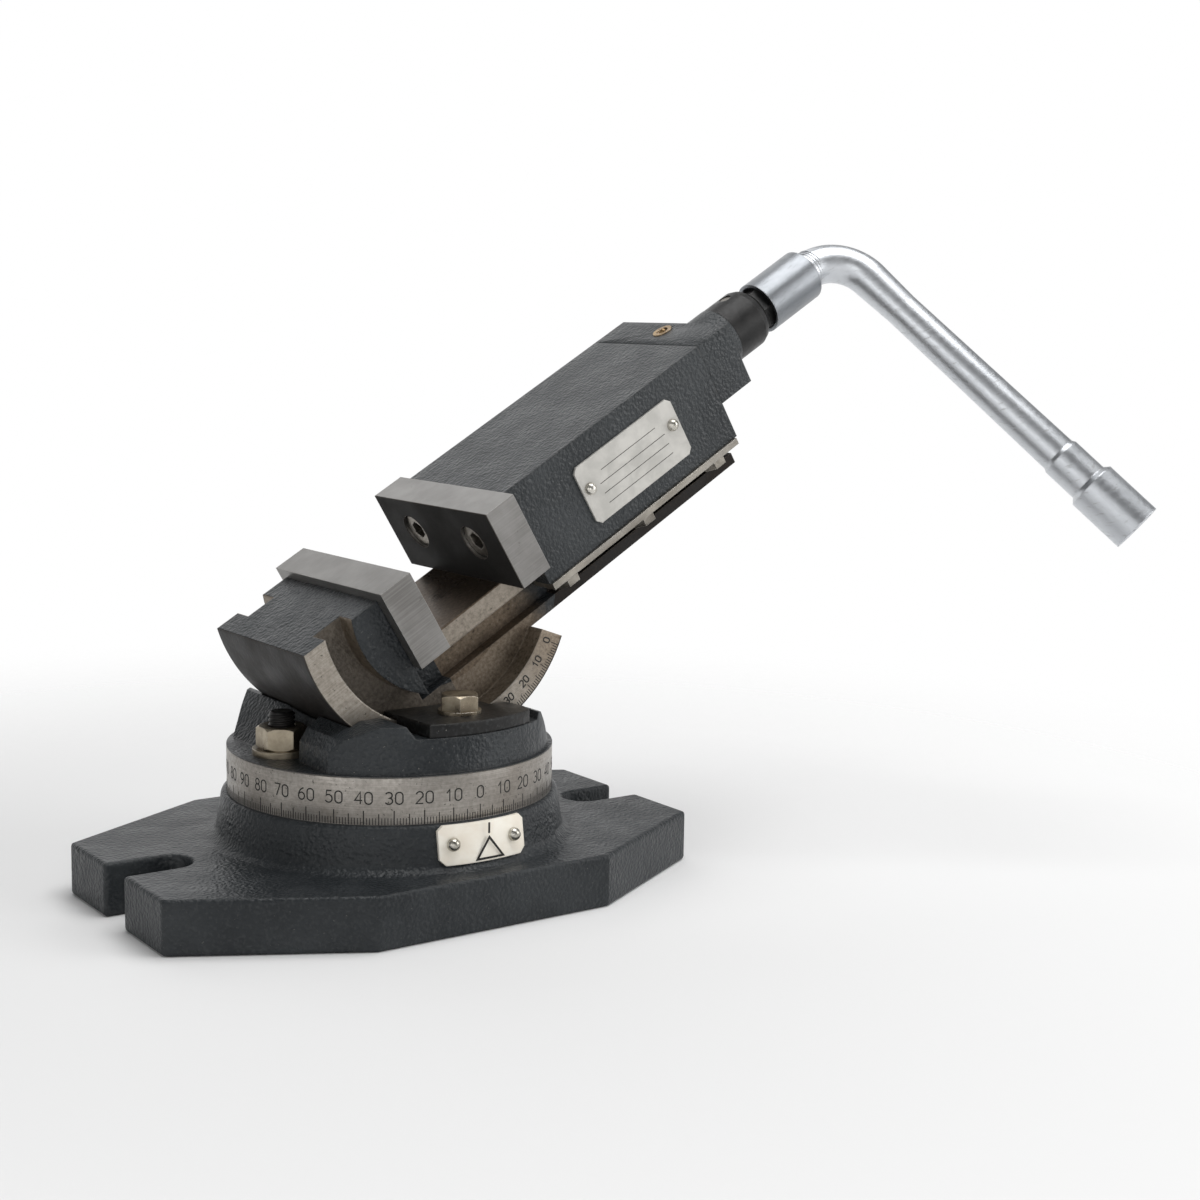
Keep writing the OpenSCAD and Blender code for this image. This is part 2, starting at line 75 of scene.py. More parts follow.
class Mat:
    """A node material written in short calls. Lengths in texture scales are in 1/m."""

    def __init__(self, name):
        self.mat = bpy.data.materials.new(name)
        self.mat.use_nodes = True
        self.tree = self.mat.node_tree
        self.tree.nodes.clear()
        self.out = self.add("OutputMaterial")
        self.coord = self.add("TexCoord").outputs["Object"]
        self.local = self.mapped(self.coord, VISE_ORIGIN * MM, (0, -TILT, 0), (1, 1, 1), "TEXTURE")

    def add(self, kind, inputs=None, **props):
        node = self.tree.nodes.new("ShaderNode" + kind)
        for key, value in props.items():
            setattr(node, key, value)
        for key, value in (inputs or {}).items():
            self.put(node.inputs[key], value)
        return node

    def put(self, socket, value):
        if isinstance(value, bpy.types.NodeSocket):
            self.tree.links.new(value, socket)
        elif hasattr(socket.default_value, "__len__") and not hasattr(value, "__len__"):
            socket.default_value = [value] * len(socket.default_value)
        else:
            if hasattr(value, "__len__") and len(socket.default_value) == 4 and len(value) == 3:
                value = (*value, 1.0)
            socket.default_value = value

    def mapped(self, vector, location=(0, 0, 0), rotation=(0, 0, 0), scale=(1, 1, 1), kind="POINT"):
        node = self.add("Mapping", {"Vector": vector}, vector_type=kind)
        node.inputs["Location"].default_value = location
        node.inputs["Rotation"].default_value = rotation
        node.inputs["Scale"].default_value = scale
        return node.outputs[0]

    def stretched(self, vector, scale):
        return self.mapped(vector, scale=scale)

    def noise(self, scale, vector=None, detail=3.0, rough=0.55, distortion=0.0):
        node = self.add("TexNoise", {"Vector": vector or self.coord, "Scale": scale, "Detail": detail,
                                     "Roughness": rough, "Distortion": distortion})
        return node.outputs["Fac"]

    def math(self, op, a, b=0.0, c=0.0):
        node = self.add("Math", operation=op)
        for socket, value in zip(node.inputs, (a, b, c)):
            self.put(socket, value)
        return node.outputs[0]

    def span(self, value, a, b, lo=0.0, hi=1.0):
        """value from a..b to lo..hi, smoothly, clamped."""
        node = self.add("MapRange", {"Value": value, "From Min": a, "From Max": b, "To Min": lo, "To Max": hi},
                        interpolation_type="SMOOTHSTEP")
        return node.outputs["Result"]

    def mix(self, factor, a, b):
        node = self.add("Mix", data_type="RGBA")
        self.put(node.inputs[0], factor)
        self.put(node.inputs[6], a)
        self.put(node.inputs[7], b)
        return node.outputs[2]

    def mixf(self, factor, a, b):
        node = self.add("Mix", data_type="FLOAT")
        self.put(node.inputs[0], factor)
        self.put(node.inputs[2], a)
        self.put(node.inputs[3], b)
        return node.outputs[0]

    def xyz(self, vector):
        return self.add("SeparateXYZ", {"Vector": vector}).outputs

    def edges(self, radius, lo=0.03, hi=0.22):
        """1 along sharp edges, 0 on flat faces."""
        bent = self.add("Bevel", {"Radius": radius}, samples=4).outputs[0]
        flat = self.add("NewGeometry").outputs["Normal"]
        dot = self.add("VectorMath", {0: bent, 1: flat}, operation="DOT_PRODUCT").outputs["Value"]
        return self.span(self.math("SUBTRACT", 1.0, dot), lo, hi)

    def cavity(self, distance, lo=0.35, hi=0.95):
        """1 in corners and recesses, 0 in the open."""
        node = self.add("AmbientOcclusion", {"Distance": distance}, samples=4, only_local=True)
        return self.span(node.outputs["AO"], lo, hi, 1.0, 0.0)

    def finish(self, look, bevel=0.0004, ior=1.5):
        """look is a dict of color, metal, rough, height (metres)."""
        shader = self.add("BsdfPrincipled")
        self.put(shader.inputs["Base Color"], look["color"])
        self.put(shader.inputs["Metallic"], look["metal"])
        self.put(shader.inputs["Roughness"], look["rough"])
        shader.inputs["IOR"].default_value = ior
        rounded = self.add("Bevel", {"Radius": bevel}, samples=4).outputs[0]
        bump = self.add("Bump", {"Height": look["height"], "Distance": 1.0, "Strength": 1.0, "Normal": rounded})
        self.put(shader.inputs["Normal"], bump.outputs[0])
        self.put(self.out.inputs["Surface"], shader.outputs[0])
        return self.mat

    def blend(self, factor, a, b):
        """Look b where factor is 1, look a where it is 0."""
        return {"color": self.mix(factor, a["color"], b["color"]),
                "metal": self.mixf(factor, a["metal"], b["metal"]),
                "rough": self.mixf(factor, a["rough"], b["rough"]),
                "height": self.mixf(factor, a["height"], b["height"])}


def enamel(m, vector=None, base=(0.016, 0.019, 0.0215), lift=(0.030, 0.034, 0.037), peel=0.00036, speck=0.3):
    """Blue-grey enamel over rough casting: orange peel with painted highlights on its drops, grime and painted shade
    in the corners, thin rubbed edges.
    """
    v = vector or m.coord
    drops = m.noise(1150, v, 1.5, 0.45)
    swell = m.noise(420, v, 2.0, 0.5)
    broad = m.noise(60, v, 4, 0.6)
    height = m.math("MULTIPLY_ADD", drops, peel, m.math("MULTIPLY", swell, peel * 0.5))
    tone = m.mix(m.span(broad, 0.32, 0.70), base, lift)
    # painted highlight: the raised drops of the orange peel are coloured lighter
    tone = m.mix(m.math("MULTIPLY", m.span(drops, 0.50, 0.70), 0.28), tone, (0.055, 0.059, 0.061))
    dots = m.span(m.noise(1500, v, 2, 0.7), 0.69, 0.75)
    tone = m.mix(m.math("MULTIPLY", dots, speck), tone, (0.22, 0.21, 0.19))
    wear = m.math("MULTIPLY", m.edges(0.0006, 0.04, 0.30), m.span(m.noise(240, v, 4, 0.7), 0.44, 0.66))
    tone = m.mix(m.math("MULTIPLY", wear, 0.6), tone, (0.12, 0.115, 0.105))
    # grime and painted shade: patchy near-black in the corners and recesses, placed by ambient occlusion
    grime_and_shade = m.math("MULTIPLY", m.cavity(0.004), m.span(m.noise(180, v, 4), 0.3, 0.7))
    tone = m.mix(m.math("MULTIPLY", grime_and_shade, 0.6), tone, (0.006, 0.0055, 0.005))
    rough = m.math("ADD", m.span(m.noise(120, v, 3), 0.3, 0.7, 0.34, 0.46), m.math("MULTIPLY", grime_and_shade, 0.15))
    return {"color": tone, "metal": 0.0, "rough": rough, "height": height}


def turned(m, vector, dark=(0.24, 0.222, 0.20), light=(0.40, 0.375, 0.342), stain=0.7):
    """Turned or milled steel that has stood in a workshop: tool lines, pits and brown stain."""
    lines = m.noise(1.0, m.stretched(vector, (60, 60, 5200)), 3, 0.6)
    mottle = m.noise(1100, vector, 4, 0.65)
    blotch = m.noise(38, vector, 3, 0.5, 0.4)
    body = m.math("ADD", m.math("MULTIPLY", m.span(mottle, 0.25, 0.75), 0.55),
                  m.math("MULTIPLY", m.span(lines, 0.3, 0.7), 0.45))
    tone = m.mix(body, dark, light)
    tone = m.mix(m.math("MULTIPLY", m.span(blotch, 0.44, 0.72), stain * 0.5), tone, (0.13, 0.105, 0.08))
    pits = m.span(m.noise(1500, vector, 3, 0.6), 0.64, 0.71)
    tone = m.mix(m.math("MULTIPLY", pits, 0.7), tone, (0.02, 0.017, 0.014))
    tone = m.mix(m.math("MULTIPLY", m.edges(0.0004, 0.04, 0.25), 0.5), tone, (0.36, 0.34, 0.31))
    rough = m.span(mottle, 0.3, 0.7, 0.46, 0.33)
    height = m.math("SUBTRACT", m.math("MULTIPLY", lines, 0.000010), m.math("MULTIPLY", pits, 0.00003))
    return {"color": tone, "metal": 0.85, "rough": rough, "height": height}


def oily(m, vector, dark=(0.016, 0.011, 0.007), light=(0.075, 0.055, 0.038), metal=0.6, gloss=0.30, grit=0.35):
    """Steel under a film of old oil."""
    lines = m.noise(1.0, m.stretched(vector, (70, 70, 4200)), 3, 0.6)
    film = m.noise(70, vector, 3, 0.5, 0.15)
    grain = m.noise(1250, vector, 3, 0.65)
    body = m.math("ADD", m.math("MULTIPLY", m.span(film, 0.30, 0.72), 0.5),
                  m.math("MULTIPLY", m.span(grain, 0.34, 0.66), 0.5))
    tone = m.mix(body, dark, light)
    tone = m.mix(m.math("MULTIPLY", m.span(grain, 0.60, 0.74), grit), tone, (0.24, 0.205, 0.165))
    tone = m.mix(m.math("MULTIPLY", m.span(grain, 0.36, 0.28), 0.6), tone, (0.010, 0.008, 0.006))
    tone = m.mix(m.math("MULTIPLY", m.edges(0.0004, 0.05, 0.25), 0.45), tone, (0.26, 0.22, 0.18))
    rough = m.span(film, 0.35, 0.7, gloss, gloss + 0.22)
    height = m.math("MULTIPLY_ADD", lines, 0.000006, m.math("MULTIPLY", grain, 0.00003))
    return {"color": tone, "metal": metal, "rough": rough, "height": height}


def ground(m, vector, axis_scale=(40, 2600, 2600), dark=(0.20, 0.193, 0.185), light=(0.285, 0.278, 0.268)):
    """Surface-ground steel: fine parallel lines, a little stain."""
    lines = m.noise(1.0, m.stretched(vector, axis_scale), 3, 0.65)
    cloud = m.noise(90, vector, 4, 0.6)
    tone = m.mix(m.span(cloud, 0.3, 0.72), dark, light)
    tone = m.mix(m.math("MULTIPLY", m.span(lines, 0.35, 0.7), 0.30), tone, (0.40, 0.39, 0.375))
    spots = m.span(m.noise(420, vector, 4, 0.7), 0.66, 0.74)
    tone = m.mix(m.math("MULTIPLY", spots, 0.4), tone, (0.09, 0.078, 0.065))
    tone = m.mix(m.math("MULTIPLY", m.edges(0.00025, 0.05, 0.3), 0.55), tone, (0.60, 0.58, 0.55))
    rough = m.span(lines, 0.3, 0.7, 0.30, 0.44)
    height = m.math("MULTIPLY", lines, 0.000008)
    return {"color": tone, "metal": 0.9, "rough": rough, "height": height}


def plated(m, dark, light, rough_lo, rough_hi, stain=(0.10, 0.08, 0.05), amount=0.5, streak=None,
           metal=0.95, rub=(0.62, 0.60, 0.56)):
    """Plated or polished small parts: cloudy plating, rubbed corners, fine marks."""
    cloud = m.noise(190, None, 4, 0.6, 0.3)
    marks = m.noise(1.0, m.stretched(m.coord, streak), 4, 0.65) if streak else m.noise(900, None, 4, 0.6)
    tone = m.mix(m.span(cloud, 0.32, 0.70), dark, light)
    grime = m.math("MULTIPLY", m.cavity(0.0025), m.span(m.noise(400, None, 4), 0.3, 0.6))
    tone = m.mix(m.math("MULTIPLY", grime, amount), tone, stain)
    tone = m.mix(m.math("MULTIPLY", m.edges(0.0003, 0.04, 0.25), 0.5), tone, rub)
    rough = m.span(m.math("ADD", m.math("MULTIPLY", marks, 0.6), m.math("MULTIPLY", cloud, 0.4)), 0.35, 0.65,
                   rough_lo, rough_hi)
    height = m.math("MULTIPLY", marks, 0.000004)
    return {"color": tone, "metal": metal, "rough": rough, "height": height}


def chrome(m):
    """Satin chrome over a forging: faint waves, handling marks, brown stain in the recesses."""
    waves = m.noise(260, None, 3, 0.5)
    haze = m.noise(38, None, 3, 0.5)
    scuffs = m.noise(1.0, m.stretched(m.local, (300, 300, 1500)), 4, 0.6)
    tone = m.mix(m.span(haze, 0.3, 0.7), (0.52, 0.54, 0.565), (0.62, 0.64, 0.665))
    tone = m.mix(m.math("MULTIPLY", m.span(scuffs, 0.58, 0.70), 0.35), tone, (0.20, 0.19, 0.175))
    dull = m.span(m.xyz(m.local)["X"], 149.4 * MM, 148.6 * MM, 0.0, 0.8)
    tone = m.mix(dull, tone, m.mix(m.span(haze, 0.3, 0.7), (0.13, 0.14, 0.15), (0.19, 0.20, 0.215)))
    grime = m.math("MULTIPLY", m.cavity(0.003), m.span(m.noise(300, None, 4), 0.3, 0.6))
    tone = m.mix(m.math("MULTIPLY", grime, 0.7), tone, (0.10, 0.065, 0.035))
    tone = m.mix(m.math("MULTIPLY", m.edges(0.0004, 0.04, 0.25), 0.4), tone, (0.70, 0.71, 0.72))
    rough = m.span(scuffs, 0.3, 0.7, 0.33, 0.42)
    return {"color": tone, "metal": 1.0, "rough": rough, "height": m.math("MULTIPLY", waves, 0.00004)}


def ink(m):
    """The dark filling of an engraved line."""
    grain = m.noise(1400, None, 4, 0.6)
    return {"color": m.mix(m.span(grain, 0.35, 0.7), (0.004, 0.0038, 0.0035), (0.022, 0.019, 0.016)), "metal": 0.0,
            "rough": m.span(grain, 0.3, 0.7, 0.55, 0.75), "height": m.math("MULTIPLY", grain, 0.00001)}


def between(m, value, lo, hi, soft=0.00015):
    """1 where value lies between lo and hi (metres)."""
    return m.math("MULTIPLY", m.span(value, lo - soft, lo + soft), m.span(value, hi - soft, hi + soft, 1.0, 0.0))


def radial(m, x, z):
    return m.math("SQRT", m.math("ADD", m.math("MULTIPLY", x, x), m.math("MULTIPLY", z, z)))


def paint_material():
    m = Mat("enamel")
    return m.finish(enamel(m), 0.0007, ior=CASTING_IOR)


def turntable_material():
    """Enamel, with the graduated ring left bare."""
    m = Mat("enamel_and_ring")
    x, y, z = m.xyz(m.coord)
    outside = m.span(radial(m, x, y), (RING_R - 0.9) * MM, (RING_R - 0.4) * MM)
    ring = m.math("MULTIPLY", between(m, z, 22.3 * MM, 32.6 * MM, 0.0002), outside)
    return m.finish(m.blend(ring, enamel(m, speck=0.7), turned(m, m.coord)), 0.0006, ior=CASTING_IOR)


def bed_material():
    """Enamel, with machined rims, beam and jaw seat."""
    m = Mat("enamel_and_bed")
    x, y, z = m.xyz(m.local)
    side = m.math("ABSOLUTE", y)
    off_x = m.math("SUBTRACT", x, AXIS_X * MM)
    off_z = m.math("SUBTRACT", z, AXIS_Z * MM)
    r = radial(m, off_x, off_z)
    inside_skin = m.span(r, (SECTOR_R - 0.15) * MM, (SECTOR_R - 0.35) * MM)
    rim_band = m.math("MULTIPLY", inside_skin, m.span(r, (RIM_R - 0.2) * MM, (RIM_R + 0.05) * MM))
    rim = m.math("MULTIPLY", m.span(side, (RIM_HALF_WIDTH - 0.15) * MM, (RIM_HALF_WIDTH - 0.05) * MM), rim_band)
    groove_band = m.math("MULTIPLY", between(m, r, 22.0 * MM, 29.3 * MM, 0.0001), m.span(side, 15.8 * MM, 16.2 * MM))
    groove = m.math("MULTIPLY", m.span(side, (RIM_HALF_WIDTH - 0.1) * MM, (RIM_HALF_WIDTH - 0.2) * MM), groove_band)
    seat = m.math("MULTIPLY", m.span(x, 0.0, 0.0001), m.span(z, -2.2 * MM, -2.4 * MM))
    beam_top = m.math("MULTIPLY", m.span(z, (BEAM_TOP - 0.5) * MM, (BEAM_TOP - 0.2) * MM), seat)
    along_beam = m.math("MULTIPLY", m.span(side, 16.3 * MM, 16.1 * MM), m.span(x, -0.1 * MM, 0.1 * MM))
    head = m.math("MULTIPLY", along_beam, between(m, z, -25.1 * MM, -19.9 * MM, 0.0001))
    fringe = m.math("MULTIPLY_ADD", m.noise(300, m.local, 4), 0.008, x)
    under_head = m.math("MULTIPLY", m.span(z, -25.0 * MM, -25.2 * MM), m.span(fringe, 36 * MM, 27 * MM))
    foot = m.math("MULTIPLY", along_beam, under_head)
    # the skin of the sector is oilier away from its lower left end
    skin = m.math("MULTIPLY", m.span(r, (SECTOR_R - 0.4) * MM, (SECTOR_R - 0.15) * MM),
                  m.span(x, -16 * MM, -6 * MM, 0.85, 1.0))
    front_rim = turned(m, m.local, (0.24, 0.215, 0.18), (0.45, 0.41, 0.36), 0.8)
    stained_rim = oily(m, m.local, (0.13, 0.10, 0.07), (0.36, 0.30, 0.235), 0.7, 0.34, 0.6)
    look = enamel(m, m.local)
    for mask, part in (
            (skin, oily(m, m.local, (0.002, 0.0018, 0.0016), (0.012, 0.007, 0.004), 0.0, 0.48, 0.08)),
            (foot, oily(m, m.local, (0.065, 0.049, 0.034), (0.20, 0.155, 0.112), 0.6, 0.4, 0.6)),
            (head, oily(m, m.local, (0.18, 0.155, 0.125), (0.40, 0.355, 0.30), 0.7, 0.38, 0.6)),
            (beam_top, oily(m, m.local, (0.050, 0.035, 0.023), (0.15, 0.11, 0.078), 0.7, 0.27, 0.5)),
            (groove, oily(m, m.local, (0.12, 0.095, 0.068), (0.32, 0.27, 0.215), 0.7, 0.34, 0.6)),
            (rim, m.blend(m.span(x, 8 * MM, 26 * MM), front_rim, stained_rim))):
        look = m.blend(mask, look, part)
    return m.finish(look, 0.0006, ior=CASTING_IOR)


def jaw_material(name, grip_at=None, dark=(0.20, 0.193, 0.185), light=(0.285, 0.278, 0.268)):
    """Ground all over; a gripping face at grip_at, facing -x in the vise frame, is darker and oily."""
    m = Mat(name)
    look = ground(m, m.local, dark=dark, light=light)
    if grip_at is not None:
        depth = m.math("MULTIPLY", m.math("SUBTRACT", m.xyz(m.local)[0], grip_at * MM), -1)
        grip = m.span(depth, -0.25 * MM, -0.1 * MM, 0.0, 0.96)
        look = m.blend(grip, look, oily(m, m.local, (0.0015, 0.0012, 0.001), (0.006, 0.005, 0.004), 0.0, 0.62, 0.04))
    return m.finish(look, 0.00025, ior=1.25)


def simple(name, look_of, bevel=0.0003, **kw):
    m = Mat(name)
    return m.finish(look_of(m), bevel, **kw)


MATERIALS = {
    "paint": paint_material(),
    "turntable": turntable_material(),
    "bed": bed_material(),
    "fixed_jaw": jaw_material("ground_jaw_fixed", None, (0.17, 0.164, 0.156), (0.245, 0.238, 0.228)),
    "moving_jaw": jaw_material("ground_jaw_moving", JAW_OPENING),
    "block": simple(
        "enamel_block", lambda m: enamel(m, m.local, (0.021, 0.0245, 0.027), (0.036, 0.0405, 0.0435)),
        0.0006, ior=1.40),
    "dark_paint": simple(
        "enamel_clamp", lambda m: enamel(m, None, (0.006, 0.006, 0.006), (0.014, 0.013, 0.012), 0.00008, 0.9),
        0.0007, ior=CASTING_IOR),
    "machined": simple("machined_steel", lambda m: turned(m, m.coord)),
    "keeper": simple(
        "keeper_steel", lambda m: ground(m, m.local, (60, 900, 900), (0.24, 0.22, 0.19), (0.42, 0.39, 0.34))),
    "ground": simple("ground_steel", lambda m: ground(m, m.local)),
    "black": simple(
        "black_oxide", lambda m: plated(m, (0.005, 0.005, 0.005), (0.016, 0.015, 0.0145), 0.36, 0.5,
                                        (0.02, 0.016, 0.012), 0.6, metal=0.3, rub=(0.11, 0.105, 0.10)), ior=1.45),
    "zinc": simple(
        "yellow_zinc", lambda m: plated(m, (0.20, 0.165, 0.12), (0.42, 0.365, 0.275), 0.26, 0.44,
                                        (0.06, 0.04, 0.02), 0.8)),
    "screw": simple(
        "grey_steel_screw", lambda m: plated(m, (0.16, 0.145, 0.125), (0.36, 0.335, 0.295), 0.28, 0.46)),
    "plate": simple(
        "satin_aluminium", lambda m: plated(m, (0.47, 0.46, 0.43), (0.59, 0.575, 0.54), 0.34, 0.48,
                                            (0.35, 0.3, 0.22), 0.3, streak=(90, 2500, 2500), metal=0.2)),
    "index": simple(
        "index_aluminium", lambda m: plated(m, (0.93, 0.86, 0.74), (1.0, 0.96, 0.86), 0.34, 0.48,
                                            (0.30, 0.22, 0.12), 0.5, streak=(90, 2500, 2500), metal=0.15)),
    "rivet": simple("bright_rivet", lambda m: plated(m, (0.42, 0.40, 0.35), (0.66, 0.64, 0.59), 0.20, 0.34)),
    "brass": simple(
        "old_brass", lambda m: plated(m, (0.22, 0.14, 0.07), (0.46, 0.32, 0.16), 0.28, 0.44,
                                      (0.08, 0.05, 0.02), 0.8)),
    "chrome": simple("satin_chrome", chrome, 0.0004),
    "mark": simple("engraved_mark", ink, 0.00005),
}

WHICH = {
    "base_plate": "paint", "index_plate": "index", "index_rivets": "rivet", "turntable": "turntable",
    "swivel_pivot": "machined", "swivel_studs": "black", "swivel_washers": "zinc", "clamp_front": "dark_paint",
    "clamp_back": "dark_paint", "clamp_washer_front": "zinc", "clamp_washer_back": "zinc",
    "swivel_nut_left": "zinc", "swivel_nut_right": "zinc", "clamp_bolt_front": "zinc", "clamp_bolt_back": "zinc",
    "vise_bed": "bed", "fixed_jaw_plate": "fixed_jaw", "fixed_jaw_screws": "screw", "feed_nut": "machined",
    "feed_nut_screws": "screw", "sliding_block": "block", "moving_jaw_plate": "moving_jaw",
    "moving_jaw_screws": "screw", "keeper_front": "keeper", "keeper_back": "keeper", "keeper_screws": "screw",
    "end_bracket": "block", "bracket_screws": "black", "oiler": "brass", "nameplate": "plate",
    "nameplate_rivets": "rivet", "spindle": "black", "thrust_washer": "screw", "inner_collar": "machined",
    "outer_collar": "black", "collar_pin": "screw", "wrench": "chrome",
}
for node, key in WHICH.items():
    mesh = NODES[node].data
    if not mesh.materials:
        mesh.materials.append(None)
    for index in range(len(mesh.materials)):
        mesh.materials[index] = MATERIALS[key]


# ---------------------------------------------------------------- engraved scales


def arc(cx, cy, rx, ry, start, end, steps=10):
    return [(cx + rx * math.cos(math.radians(start + (end - start) * i / steps)),
             cy + ry * math.sin(math.radians(start + (end - start) * i / steps))) for i in range(steps + 1)]


# Single-stroke figures, 1 high and about 0.62 wide.
FIGURES = {
    "0": [arc(0.3, 0.72, 0.3, 0.28, 0, 180) + arc(0.3, 0.28, 0.3, 0.28, 180, 360) + [(0.6, 0.72)]],
    "1": [[(0.10, 0.70), (0.36, 1.0), (0.36, 0.0)]],
    "2": [arc(0.3, 0.72, 0.29, 0.28, 165, -35) + [(0.0, 0.0), (0.6, 0.0)]],
    "3": [arc(0.28, 0.75, 0.28, 0.25, 155, -90) + arc(0.28, 0.27, 0.31, 0.27, 90, -155)[1:]],
    "4": [[(0.46, 0.0), (0.46, 1.0), (0.0, 0.30), (0.62, 0.30)]],
    "5": [[(0.54, 1.0), (0.12, 1.0), (0.06, 0.56)] + arc(0.27, 0.33, 0.32, 0.33, 125, -150)],
    "6": [[(0.50, 1.0)] + arc(0.62, 0.36, 0.60, 0.62, 118, 185, 6) + arc(0.3, 0.30, 0.29, 0.30, 180, 540, 16)],
    "7": [[(0.0, 1.0), (0.6, 1.0), (0.2, 0.0)]],
    "8": [arc(0.3, 0.76, 0.24, 0.24, -90, 270, 16), arc(0.3, 0.27, 0.30, 0.27, 90, 450, 16)],
    "9": [[(0.10, 0.0)] + arc(-0.02, 0.64, 0.60, 0.62, -62, 5, 6) + arc(0.3, 0.70, 0.29, 0.30, 0, 360, 16)],
}


def stroke(bm, points, width, low, high, place):
    """A thin closed bar along points (u, v), from height low to high, set on a surface by place(u, v, h)."""
    closed = len(points) > 3 and (Vector(points[0]) - Vector(points[-1])).length < 1e-6
    pts = [Vector(p) for p in (points[:-1] if closed else points)]
    count = len(pts)
    sides = []
    for i, p in enumerate(pts):
        before = pts[i - 1] if (i or closed) else None
        after = pts[(i + 1) % count] if (i < count - 1 or closed) else None
        dirs = [d.normalized() for d in (p - before if before else None, after - p if after else None) if d]
        along = (dirs[0] + dirs[-1]).normalized() if len(dirs) > 1 and (dirs[0] + dirs[-1]).length > 1e-6 else dirs[0]
        across = Vector((-along.y, along.x))
        stretch = 1.0 / max(0.5, abs(across.dot(Vector((-dirs[0].y, dirs[0].x)))))
        half = across * (width / 2 * stretch)
        corners = ((1, low), (1, high), (-1, high), (-1, low))
        sides.append([bm.verts.new(place(*(p + s * half), h)) for s, h in corners])
    pairs = [(i, (i + 1) % count) for i in range(count if closed else count - 1)]
    for i, j in pairs:
        for k in range(4):
            bm.faces.new((sides[i][k], sides[i][(k + 1) % 4], sides[j][(k + 1) % 4], sides[j][k]))
    if not closed:
        bm.faces.new(sides[0][::-1])
        bm.faces.new(sides[-1])


def number(bm, text, height, width, low, high, place, advance=0.84):
    """Figures centred on u = 0, standing on v = 0."""
    total = (len(text) - 1) * advance + 0.6
    for i, figure in enumerate(text):
        shift = i * advance - total / 2
        for line in FIGURES[figure]:
            stroke(bm, [((x + shift) * height, y * height) for x, y in line], width, low, high, place)


def piece(name, bm, key, body, smooth=False):
    bmesh.ops.recalc_face_normals(bm, faces=bm.faces)
    mesh = bpy.data.meshes.new(name)
    bm.to_mesh(mesh)
    bm.free()
    for polygon in mesh.polygons:
        polygon.use_smooth = smooth
    mesh.materials.append(MATERIALS[key])
    obj = bpy.data.objects.new(name, mesh)
    bpy.context.scene.collection.objects.link(obj)
    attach(obj, body)
    return obj


RING_Z0 = 22.35  # foot of the ring's ticks
RING_ZERO = math.radians(1.6)  # how far the zero stands past the middle of the front


def on_ring(angle):
    """Places (u, v, h) mm on the ring, u along it, v up, h outward, at an angle from the index."""
    def place(u, v, h):
        a = -math.pi / 2 + RING_ZERO + angle + u / RING_R
        return Vector(((RING_R + h) * math.cos(a), (RING_R + h) * math.sin(a), v)) * MM
    return place


TILT_ZERO = -54.8  # where the tilt scale starts, in degrees round the tilt axis

# The marks of every tenth, fifth and single degree.
RING_TICKS = ((10, 3.1, 0.26), (5, 2.4, 0.22), (1, 1.5, 0.16))  # step, length, width
TILT_TICKS = ((10, 32.6), (5, 33.0), (1, 33.5))  # step, inner end
SUNK = -0.12  # the underside of every mark, below its surface


def tick(degree, table):
    """The first row of the table whose step the degree falls on, without the step."""
    return next(row[1:] for row in table if degree % row[0] == 0)


bm = bmesh.new()
for degree in range(360):
    place = on_ring(math.radians(degree))
    length, width = tick(degree, RING_TICKS)
    stroke(bm, [(0, RING_Z0), (0, RING_Z0 + length)], width, SUNK, 0.012, place)
    if degree % 10 == 0:
        value = 90 - abs(90 - degree % 180)
        number(bm, str(value), 2.6, 0.30, SUNK, 0.02, lambda u, v, h, p=place: p(u, v + 26.9, h))
piece("ring_scale", bm, "mark", "turntable")

bm = bmesh.new()
for degree in range(0, 91):
    a = math.radians(TILT_ZERO - degree)

    def on_rim(u, v, h, a=a):
        """u along the rim, v outward from the tilt axis, h towards the front."""
        b = a + u / v if v else a
        return vise(AXIS_X + v * math.cos(b), -RIM_HALF_WIDTH - h, AXIS_Z + v * math.sin(b))

    (inner,) = tick(degree, TILT_TICKS)
    stroke(bm, [(0, inner), (0, 34.9)], 0.2, SUNK, 0.02, on_rim)
    if degree % 10 == 0:
        number(bm, str(degree), 1.7, 0.34, SUNK, 0.02, lambda u, v, h: on_rim(u, 32.2 - v, h))
piece("tilt_scale", bm, "mark", "vise")

low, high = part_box("index_plate")
PLATE_Y = low.y / MM


def on_index(u, v, h):
    return Vector((u, PLATE_Y - h, v)) * MM


bm = bmesh.new()
stroke(bm, [(1.4, 18.7), (-1.6, 14.1), (5.0, 14.2), (1.4, 18.7)], 0.5, -0.08, 0.02, on_index)
stroke(bm, [(1.3, 19.6), (1.3, 22.0)], 0.45, -0.08, 0.02, on_index)
piece("index_mark", bm, "mark", "base")


def on_name(u, v, h):
    return vise(NAMEPLATE_MID[0] + u, -NAMEPLATE_FACE - h, NAMEPLATE_MID[1] + v)


bm = bmesh.new()
for row, half in ((3.4, 9.0), (0.6, 10.8), (-2.0, 10.8), (-4.6, 10.8)):
    stroke(bm, [(-half, row), (half, row)], 0.16, -0.08, 0.015, on_name)
piece("nameplate_rules", bm, "mark", "moving_jaw")


# ---------------------------------------------------------------- threaded studs

PITCH = 1.0
STUD_R, ROOT_R = 3.0, 2.62
low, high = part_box("swivel_studs")
STUD_Z0, STUD_Z1 = low.z / MM, high.z / MM


